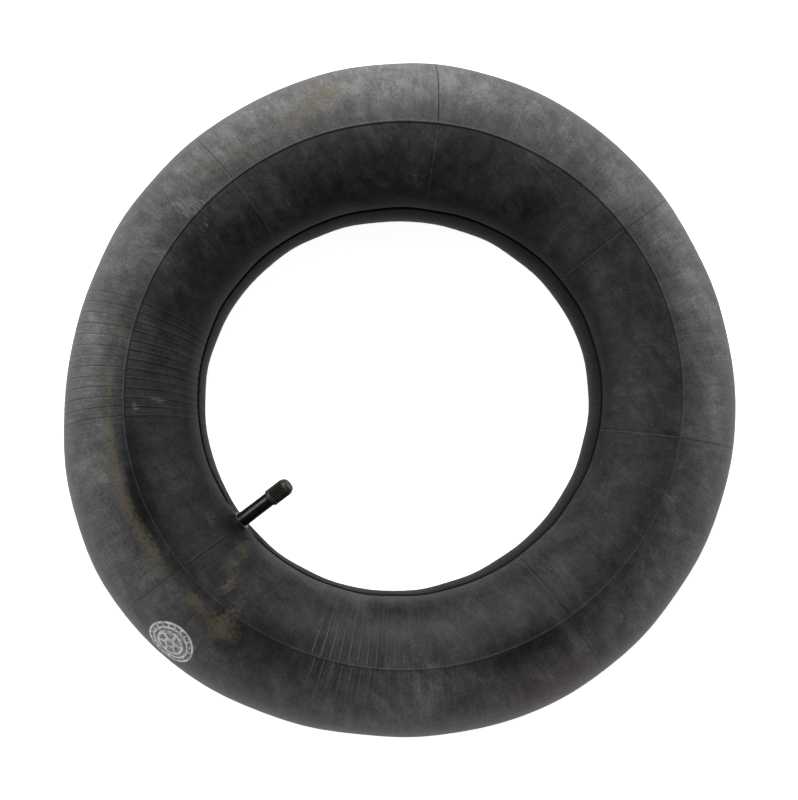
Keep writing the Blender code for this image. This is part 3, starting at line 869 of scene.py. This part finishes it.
def make_cap(material):
    """The dust cap: a plain collar, a ribbed grip, a rounded end and an inner thread."""
    collar = CAP_COLLAR_RADIUS
    mouth_bore = CAP_BORE + 0.25 * MM
    grip_start = CAP_MOUTH + 2.3 * MM
    grip_end = CAP_END - 2.3 * MM
    outline = [(0, CAP_END), (3.2 * MM, CAP_END)]
    outline += arc((3.2 * MM, CAP_END - 0.7 * MM), 0.7 * MM, 75, 35, 4)
    outline += [(CAP_RADIUS - 0.28 * MM, grip_end + 0.7 * MM), (CAP_RADIUS, grip_end)]
    outline += [(CAP_RADIUS, grip_start), (collar - 0.3 * MM, grip_start - 0.15 * MM)]
    outline += [(collar, CAP_MOUTH + 1.75 * MM), (collar, CAP_MOUTH + 0.2 * MM)]
    outline += [(collar - 0.2 * MM, CAP_MOUTH), (mouth_bore, CAP_MOUTH)]
    outline += [(mouth_bore, CAP_MOUTH + 0.6 * MM), (CAP_BORE, CAP_MOUTH + 0.8 * MM)]
    outline += [(CAP_BORE, CAP_CEILING), (0, CAP_CEILING)]
    outline = refined(softened(outline, 0.12 * MM, False), 0.1 * MM, False)

    def shaped(radius, angle, height):
        grip = step_up(height, grip_start, grip_start + 0.3 * MM)
        grip *= 1 - step_up(height, grip_end - 0.2 * MM, grip_end + 0.5 * MM)
        hollow = 0.5 - 0.5 * np.cos(CAP_RIBS * angle)
        ribbed = radius - grip * RIB_DEPTH * hollow
        share = thread_share(angle, height, STEM_THREAD_START + PITCH / 2, CAP_THREAD_TURNS)
        threaded = radius - share * (CAP_BORE - CAP_THREAD_CREST)
        inner = (radius < CAP_BORE + 0.01 * MM) & (radius > CAP_BORE - 0.02 * MM)
        inner &= height < CAP_CEILING - 0.3 * MM
        return np.where(radius > 4.4 * MM, ribbed, np.where(inner, threaded, radius))

    points, faces = turned_mesh(outline, 240, shaped)
    placing = ("cap", "cap_plastic", "dust_cap")
    cap = add_valve_piece("dust_cap_shell", points, faces, material, *placing)
    radius = np.hypot(points[:, 0], points[:, 1])
    # painted shade: near black in the rib grooves and, at a lesser share, over the end face
    groove_and_end_shade = step_up(CAP_RADIUS - radius, 0.10 * MM, 0.8 * RIB_DEPTH) * (radius > 4.4 * MM)
    groove_and_end_shade *= (points[:, 2] > grip_start) & (points[:, 2] < grip_end)
    groove_and_end_shade = np.maximum(groove_and_end_shade, 0.7 * (points[:, 2] > CAP_END - 0.25 * MM))
    store(cap, "groove_and_end_shade", groove_and_end_shade)
    return cap


# ---- mark on the shoulder


def mark_point(x, y, lift):
    """A point of the flat mark design, laid on the skin."""
    turn = MARK_TURN + y / SECTION_RADIUS
    direction = MARK_DIRECTION + x / reach_at(MARK_DIRECTION, turn)
    return skin_points(direction, direction, turn, lift)


def strip(path, width, closed):
    """Points and faces of a low rounded bar that follows a flat path on the skin."""
    path = np.array(path)
    ahead = np.roll(path, -1, axis=0) - np.roll(path, 1, axis=0)
    if not closed:
        ahead[0] = path[1] - path[0]
        ahead[-1] = path[-1] - path[-2]
    ahead /= np.linalg.norm(ahead, axis=1)[:, None]
    side = np.stack([-ahead[:, 1], ahead[:, 0]], axis=1)
    section = ((-0.5, -0.3), (-0.5, 0.55), (-0.25, 1), (0.25, 1), (0.5, 0.55), (0.5, -0.3))
    rings = []
    for offset, height in section:
        placed = path + side * offset * width
        rings.append(mark_point(placed[:, 0], placed[:, 1], height * MARK_RELIEF))
    points = np.stack(rings, axis=1)
    faces = grid_faces(len(path), len(section), closed)
    if not closed:
        faces += end_faces(len(path), len(section))
    return points.reshape(-1, 3), [face[::-1] for face in faces]


def circle_path(radius, steps):
    angles = np.arange(steps) * 2 * math.pi / steps
    return np.stack([radius * np.cos(angles), radius * np.sin(angles)], axis=1)


def ray_path(angle, start, end, steps):
    lengths = np.linspace(start, end, steps)
    return np.stack([lengths * math.cos(angle), lengths * math.sin(angle)], axis=1)


def mark_strips():
    """Two outer rings with ticks between them, and a plain spoked wheel inside."""
    size = MARK_RADIUS
    strips = [strip(circle_path(size * share, 72), 1.2 * MM, True) for share in (1.0, 0.78)]
    strips += [strip(circle_path(size * share, 48), 1.8 * MM, True) for share in (0.56, 0.2)]
    rays = ((MARK_TICKS, 0, 0.84, 0.94, 3, 0.9), (MARK_SPOKES, 0.5, 0.27, 0.49, 6, 1.9))
    for count, shift, start, end, steps, width in rays:
        for i in range(count):
            angle = 2 * math.pi * (i + shift) / count
            path = ray_path(angle, size * start, size * end, steps)
            strips.append(strip(path, width * MM, False))
    return strips


def make_mark(material):
    points = []
    faces = []
    for strip_points, strip_faces in mark_strips():
        start = len(points)
        points += list(strip_points)
        faces += [tuple(start + i for i in face) for face in strip_faces]
    return add_piece("round_mark", points, faces, material, "tube")


# ---- materials


class Surface:
    """A procedural material, with short calls for the nodes that it is made of."""

    def __init__(self, name):
        self.material = bpy.data.materials.new(name)
        self.material.use_nodes = True
        self.tree = self.material.node_tree
        self.shader = self.tree.nodes["Principled BSDF"]
        self.place = self.tree.nodes.new("ShaderNodeTexCoord").outputs["Object"]

    def give(self, socket, value):
        if isinstance(value, bpy.types.NodeSocket):
            self.tree.links.new(value, socket)
        elif isinstance(value, tuple) and len(value) == 3 and socket.type == "RGBA":
            socket.default_value = (*value, 1.0)
        else:
            socket.default_value = value

    def give_all(self, node, values):
        """Sets a node's inputs by name, so that from_min is the input From Min."""
        for name, value in values.items():
            title = name.replace("_", " ").title().replace("Ior", "IOR")
            self.give(node.inputs[title], value)

    def set(self, **values):
        self.give_all(self.shader, values)

    def made(self, kind, **values):
        node = self.tree.nodes.new(kind)
        self.give_all(node, values)
        return node

    def calculate(self, operation, first, second=0.0, third=0.0):
        node = self.tree.nodes.new("ShaderNodeMath")
        node.operation = operation
        for socket, value in zip(node.inputs, (first, second, third)):
            self.give(socket, value)
        return node.outputs[0]

    def plus(self, first, second):
        return self.calculate("ADD", first, second)

    def times(self, first, second):
        return self.calculate("MULTIPLY", first, second)

    def noise(self, scale, detail=4.0, roughness=0.55, place=None, distortion=0.0):
        place = place or self.place
        values = dict(scale=scale, detail=detail, roughness=roughness, distortion=distortion)
        return self.made("ShaderNodeTexNoise", vector=place, **values).outputs["Fac"]

    def span(self, value, low, high, new_low=0.0, new_high=1.0):
        """The value moved smoothly from one span of numbers to another."""
        ends = dict(from_min=low, from_max=high, to_min=new_low, to_max=new_high)
        node = self.made("ShaderNodeMapRange", value=value, **ends)
        node.interpolation_type = "SMOOTHSTEP"
        return node.outputs["Result"]

    def blend(self, share, first, second):
        """A colour between two others."""
        node = self.made("ShaderNodeMix", factor=share)
        node.data_type = "RGBA"
        colours = [socket for socket in node.inputs if socket.type == "RGBA"]
        self.give(colours[0], first)
        self.give(colours[1], second)
        return next(socket for socket in node.outputs if socket.type == "RGBA")

    def mix(self, share, first, second):
        """A number between two others."""
        step = self.calculate("SUBTRACT", second, first)
        return self.calculate("MULTIPLY_ADD", share, step, first)

    def torn(self, share, noise, low, high):
        """A soft patch broken up by noise: full where the two add up to more than high."""
        ragged = self.plus(share, self.span(noise, 0.34, 0.66, -0.5, 0.5))
        return self.times(self.span(ragged, low, high), self.span(share, 0.05, 0.35))

    def stored(self, name):
        node = self.tree.nodes.new("ShaderNodeAttribute")
        node.attribute_name = name
        return node.outputs["Fac"]

    def stretched(self, x, y, z):
        """The place with each axis scaled by its own number."""
        return self.made("ShaderNodeMapping", vector=self.place, scale=(x, y, z)).outputs["Vector"]

    def ring_place(self, along, across):
        """A place whose features are short round the ring and long across it, or the reverse."""
        x, y, _ = self.made("ShaderNodeSeparateXYZ", vector=self.place).outputs
        reach = self.calculate("SQRT", self.plus(self.times(x, x), self.times(y, y)))
        cosine = self.calculate("DIVIDE", x, reach)
        sine = self.calculate("DIVIDE", y, reach)
        place = dict(x=self.times(cosine, along), y=self.times(sine, along))
        place["z"] = self.times(reach, across)
        return self.made("ShaderNodeCombineXYZ", **place).outputs[0]

    def relief(self, height, strength, distance):
        """A bump from a height, added to the surface's normal."""
        node = self.made("ShaderNodeBump", height=height, strength=strength, distance=distance)
        self.set(normal=node.outputs[0])


def bloom_cover(s, clouds, blotches, grain):
    """The stored bloom, broken up at every scale, with short streaks on the ribs and smudges."""
    swept = s.noise(1.0, 8, 0.72, s.ring_place(22, 50), distortion=0.7)
    brushed = s.noise(1.0, 5, 0.65, s.ring_place(150, 22))
    slanted = s.noise(1.0, 7, 0.72, s.stretched(150, 38, 90), distortion=0.4)
    scratched = s.noise(1.0, 4, 0.7, s.ring_place(330, 60))
    dust_and_shading = s.stored("dust_and_shading")
    for noise, *limits in (
        (clouds, 0.28, 0.72, 0.72, 1.25),
        (swept, 0.30, 0.72, 0.74, 1.26),
        (slanted, 0.34, 0.68, 0.84, 1.16),
        (blotches, 0.3, 0.7, 0.86, 1.13),
        (grain, 0.25, 0.75, 0.60, 1.36),
        (scratched, 0.3, 0.7, 0.80, 1.20),
    ):
        dust_and_shading = s.times(dust_and_shading, s.span(noise, *limits))
    streaks = s.times(s.stored("ribbed"), s.span(brushed, 0.35, 0.7, -0.03, 0.06))
    smudges = s.times(s.span(clouds, 0.42, 0.68), s.span(slanted, 0.38, 0.70, 0.0, 0.15))
    return s.plus(s.plus(dust_and_shading, streaks), smudges)


def stained(s, colour):
    """The colour under ochre crumbs, red powder and pale rubbed spots."""
    crumbs = s.noise(420, 7, 0.80, distortion=0.3)
    powder = s.noise(160, 6, 0.7)
    rubbed = s.noise(1.0, 7, 0.8, s.ring_place(150, 170), distortion=0.6)
    for name, noise, low, high, cover, stain in (
        ("ochre", crumbs, 0.15, 1.15, 0.60, OCHRE),
        ("red", powder, 0.10, 0.90, 0.30, RED_DUST),
        ("scuff", rubbed, 0.55, 1.1, 0.38, SCUFFED),
    ):
        patch = s.torn(s.stored(name), noise, low, high)
        colour = s.blend(s.times(patch, cover), colour, stain)
    return colour


def lined(s, colour):
    """The colour under the mark's haze, loose specks, the root's painted shade, and the mould lines
    with the painted highlight and shade of the ridge, lines, crease and band.
    """
    haze = s.times(s.stored("mark"), s.span(s.noise(260, 6, 0.75), 0.32, 0.66, 0.15, 1.0))
    colour = s.blend(haze, colour, MARK_HAZE)
    specks = s.times(s.span(s.noise(420, 3, 0.5), 0.70, 0.76), 0.35)
    colour = s.blend(specks, colour, SPECKS)
    # painted shade round the valve's root
    colour = s.blend(s.times(s.stored("root"), 0.88), colour, ROOT_SHADE)
    line = s.stored("line")
    # painted highlight above 0 and painted shade below 0, with the lines' own tones
    colour = s.blend(s.span(line, 0.0, 1.0, 0.0, 0.6), colour, PALE_LINE_AND_HIGHLIGHT)
    return s.blend(s.span(line, 0.0, -0.9), colour, DARK_LINE_AND_SHADE)


def butyl_look(s):
    """Black butyl rubber under a patchy pale bloom, with stains, scuffs, a hatched inner band and
    painted highlight and shade along its ridge, lines and crease.
    Gives the colour, the roughness, the gloss and the fine relief."""
    clouds = s.noise(24, 9, 0.70, distortion=0.9)
    blotches = s.noise(110, 7, 0.66, distortion=0.5)
    grain = s.noise(900, 5, 0.7)
    hatching = s.noise(1.0, 3, 0.6, s.ring_place(420, 40))
    dust_and_shading = bloom_cover(s, clouds, blotches, grain)

    mottling = s.plus(s.times(blotches, 0.6), s.times(grain, 0.4))
    rubber = s.blend(s.span(mottling, 0.38, 0.64), DARK_RUBBER, GREY_RUBBER)
    # where the stored cover is below 0 the rubber darkens: bare rubber, and painted shade along the
    # crease
    rubber = s.blend(s.span(s.stored("dust_and_shading"), -0.22, 0.05), BARE_AND_SHADED_RUBBER, rubber)
    colour = s.blend(dust_and_shading, rubber, BLOOM)
    band = s.times(s.stored("band"), s.span(hatching, 0.3, 0.7, 0.25, 1.0))
    colour = s.blend(band, s.blend(s.stored("band"), colour, BAND), BAND_STROKES)
    colour = lined(s, stained(s, colour))

    roughness = s.span(dust_and_shading, 0.0, 0.8, 0.50, 0.74)
    gloss = s.span(s.stored("band"), 0.0, 1.0, 0.20, 0.03)
    gloss = s.times(gloss, s.span(s.stored("root"), 0.0, 1.0, 1.0, 0.35))
    height = s.plus(s.times(grain, 0.5), s.times(blotches, 0.8))
    height = s.plus(height, s.times(hatching, band))
    return colour, roughness, gloss, height


def butyl_surface():
    s = Surface("butyl")
    colour, roughness, gloss, height = butyl_look(s)
    s.set(base_color=colour, roughness=roughness, specular_ior_level=gloss)
    s.relief(height, 0.6, 0.00035)
    return s.material


def mark_surface():
    """The mark's raised lines, whitened by talc that sits on them."""
    s = Surface("talc_mark")
    flecks = s.noise(350, 5, 0.65)
    grain = s.noise(1600, 4, 0.6)
    s.set(base_color=s.blend(s.span(flecks, 0.32, 0.62), *TALC))
    s.set(roughness=s.span(grain, 0.3, 0.7, 0.65, 0.8))
    s.relief(grain, 0.4, 0.0001)
    return s.material


def jacket_surface():
    """Smooth moulded rubber, glossier than the bladder, with a few fine rub marks. Its base is as
    dusty as the skin that it lies on, and takes the painted shade round the root."""
    s = Surface("moulded_rubber")
    skin, skin_roughness, skin_gloss, skin_grain = butyl_look(s)
    base = s.stored("base")
    rubs = s.noise(500, 5, 0.6, s.stretched(0.25, 1.0, 1.0))
    grain = s.noise(2400, 4, 0.55)
    stem = s.blend(s.span(rubs, 0.45, 0.75), *STEM_RUBBER)
    s.set(base_color=s.blend(base, stem, skin))
    s.set(roughness=s.mix(base, s.span(rubs, 0.35, 0.7, 0.26, 0.36), skin_roughness))
    s.set(specular_ior_level=s.mix(base, 0.75, skin_gloss))
    fine = s.plus(s.times(grain, 0.06), s.times(rubs, 0.04))
    s.relief(s.mix(base, fine, skin_grain), 0.6, 0.00035)
    return s.material


def cap_surface():
    """Brownish black moulded plastic, worn a little lighter and duller on its high spots, with
    painted shade in its rib grooves and over its end.
    """
    s = Surface("cap_plastic")
    wear = s.noise(900, 5, 0.6)
    grain = s.noise(3500, 3, 0.5)
    plastic = s.blend(s.span(wear, 0.4, 0.75), *CAP_PLASTIC)
    # painted shade in the grooves and on the end
    s.set(base_color=s.blend(s.stored("groove_and_end_shade"), plastic, CAP_GROOVE_SHADE))
    s.set(roughness=s.span(wear, 0.3, 0.7, 0.30, 0.42))
    s.set(specular_ior_level=s.mix(s.stored("groove_and_end_shade"), 0.35, 0.02))
    s.relief(s.plus(grain, wear), 0.25, 0.00006)
    return s.material


def mottled(name, scale, first, second, roughness, spread):
    """A surface of two colours with an uneven shine, and the noise that mixes them."""
    s = Surface(name)
    mottling = s.noise(scale, 5, 0.6)
    s.set(base_color=s.blend(s.span(mottling, 0.35, 0.7), first, second))
    s.set(roughness=s.span(mottling, 0.3, 0.7, roughness, roughness + spread))
    return s, mottling


def metal_surface(name, bright, dull, roughness):
    """Machined metal, a little tarnished, with fine turning marks."""
    s, _ = mottled(name, 700, bright, dull, roughness, 0.18)
    s.set(metallic=1.0)
    s.relief(s.noise(4000, 2, 0.5, s.stretched(1.0, 0.2, 0.2)), 0.2, 0.00003)
    return s.material


def seal_surface(name, dark, light, roughness):
    s, mottling = mottled(name, 1500, dark, light, roughness, 0.15)
    s.relief(mottling, 0.3, 0.00004)
    return s.material


def floor_surface():
    """Plain pale paper with a barely visible tooth."""
    s = Surface("pale_floor")
    tooth = s.noise(400, 4, 0.5)
    s.set(base_color=s.blend(tooth, *PAPER))
    s.set(roughness=0.8, specular_ior_level=0.2)
    s.set(emission_color=(1.0, 1.0, 1.0), emission_strength=FLOOR_GLOW)
    return s.material


def dress_nodes(finishes):
    """Gives the CAD nodes that stay in view their finish."""
    for name, material in finishes.items():
        node = frame["nodes"][name]
        node.data.materials.clear()
        node.data.materials.append(material)


# ---- stage


def ring_centre():
    low, high = CAD_BOX
    return (low + high) / 2


def heading(direction):
    return Vector((math.cos(direction), math.sin(direction), 0))


def look(item, away, top):
    """Turns a camera or lamp so that it looks against the direction away, with top upwards."""
    back = away.normalized()
    up = (top - back * top.dot(back)).normalized()
    right = up.cross(back)
    turned = Matrix((right, up, back)).transposed().to_4x4()
    item.matrix_world = Matrix.Translation(item.location) @ turned


def add_camera():
    data = bpy.data.cameras.new("camera")
    data.lens = CAMERA_LENS
    data.sensor_width = 36
    camera = add_item("camera", data)
    away = Vector((0, 0, 1))
    away -= heading(PICTURE_RIGHT) * math.tan(CAMERA_TO_LEFT)
    away -= heading(PICTURE_TOP) * math.tan(CAMERA_TO_BOTTOM)
    target = ring_centre() + heading(PICTURE_RIGHT) * AIM_RIGHT + heading(PICTURE_TOP) * AIM_UP
    camera.location = target + away.normalized() * CAMERA_DISTANCE
    look(camera, away, heading(PICTURE_TOP))
    bpy.context.scene.camera = camera


def add_lamp(name, turn, rise, distance, size, power):
    """A square lamp that shines at the ring."""
    data = bpy.data.lights.new(name, "AREA")
    data.shape = "SQUARE"
    data.size = size
    data.energy = power
    lamp = add_item(name, data)
    rise = math.radians(rise)
    away = heading(PICTURE_RIGHT + math.radians(turn)) * math.cos(rise)
    away += Vector((0, 0, math.sin(rise)))
    lamp.location = ring_centre() + away * distance
    look(lamp, away, Vector((0, 0, 1)))


def add_floor(material):
    half = FLOOR_SIZE / 2
    mesh = bpy.data.meshes.new("floor")
    corners = [(x * half, y * half, 0) for x, y in ((-1, -1), (1, -1), (1, 1), (-1, 1))]
    mesh.from_pydata(corners, [], [(0, 1, 2, 3)])
    mesh.materials.append(material)
    floor = add_item("floor", mesh)
    floor.location.z = -FLOOR_DROP


def add_world():
    world = bpy.data.worlds.new("studio")
    world.use_nodes = True
    background = world.node_tree.nodes["Background"]
    background.inputs["Color"].default_value = (1.0, 1.0, 1.0, 1.0)
    background.inputs["Strength"].default_value = WORLD_LIGHT
    bpy.context.scene.world = world


def add_stage():
    add_floor(floor_surface())
    add_world()
    for lamp in LAMPS:
        add_lamp(*lamp)
    bpy.context.scene.view_settings.view_transform = "Standard"
    add_camera()


VALVE = valve_frame()
LINES = mould_lines()


def main():
    brass = metal_surface("brass", (0.72, 0.53, 0.26), (0.45, 0.32, 0.15), 0.24)
    nickel = metal_surface("nickel", (0.66, 0.64, 0.58), (0.42, 0.40, 0.36), 0.22)
    steel = metal_surface("spring_steel", (0.58, 0.58, 0.59), (0.36, 0.36, 0.37), 0.22)
    seal = seal_surface("sealing_rubber", (0.012, 0.012, 0.012), (0.03, 0.029, 0.028), 0.5)
    sleeve = seal_surface("sealing_sleeve", (0.38, 0.045, 0.03), (0.52, 0.09, 0.06), 0.38)
    make_skin(butyl_surface())
    make_mark(mark_surface())
    make_jacket(jacket_surface())
    make_stem(brass)
    make_plug(nickel)
    make_pin(brass)
    make_spring(steel)
    make_cap(cap_surface())
    finishes = dict(core_barrel=brass, core_cup=brass, core_gasket=sleeve)
    dress_nodes(dict(finishes, core_seal=seal, cap_liner=seal))
    add_stage()


main()
